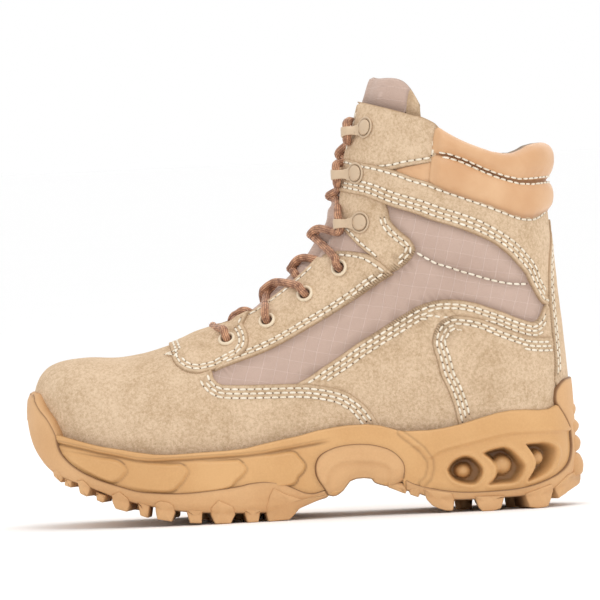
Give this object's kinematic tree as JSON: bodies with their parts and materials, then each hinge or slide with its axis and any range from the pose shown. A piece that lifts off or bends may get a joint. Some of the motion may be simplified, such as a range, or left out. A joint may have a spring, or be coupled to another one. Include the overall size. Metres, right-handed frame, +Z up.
{
  "type": "lace-up combat boot",
  "caption": "Left desert combat boot with a six-inch shaft, padded collar, tongue, speed-lacing hooks and a lugged sole.",
  "frame": {"origin": "middle of the boot's footprint, on the floor it stands on", "axes": "+Z up, +X from the toe towards the heel, +Y towards the inner (medial) side"},
  "size_m": [0.3076, 0.113, 0.2427],
  "materials": {
    "suede": "sand suede with double-needle stitching",
    "padding": "smooth tan leather over foam",
    "nylon": "ripstop nylon, tan",
    "lining": "tan mesh lining",
    "midsole": "moulded foam, satin",
    "rubber": "moulded rubber, satin",
    "enamel": "beige enamel",
    "lace": "round woven cord"
  },
  "bodies": {
    "root": {"upper": "suede", "collar_pad": "padding", "tongue": "nylon", "insole": "lining", "midsole": "midsole", "outsole_forefoot": "rubber", "outsole_heel": "rubber", "arch_bridge": "rubber", "eyelet_lateral_1": "enamel", "eyelet_lateral_2": "enamel", "eyelet_lateral_3": "enamel", "eyelet_lateral_4": "enamel", "hook_lateral_1": "enamel", "hook_lateral_2": "enamel", "hook_lateral_3": "enamel", "eyelet_medial_1": "enamel", "eyelet_medial_2": "enamel", "eyelet_medial_3": "enamel", "eyelet_medial_4": "enamel", "hook_medial_1": "enamel", "hook_medial_2": "enamel", "hook_medial_3": "enamel", "lace_bar": "lace", "lace_cross_1": "lace", "lace_cross_2": "lace", "lace_cross_3": "lace", "lace_cross_4": "lace", "lace_cross_5": "lace", "lace_cross_6": "lace"}
  },
  "joints": []
}
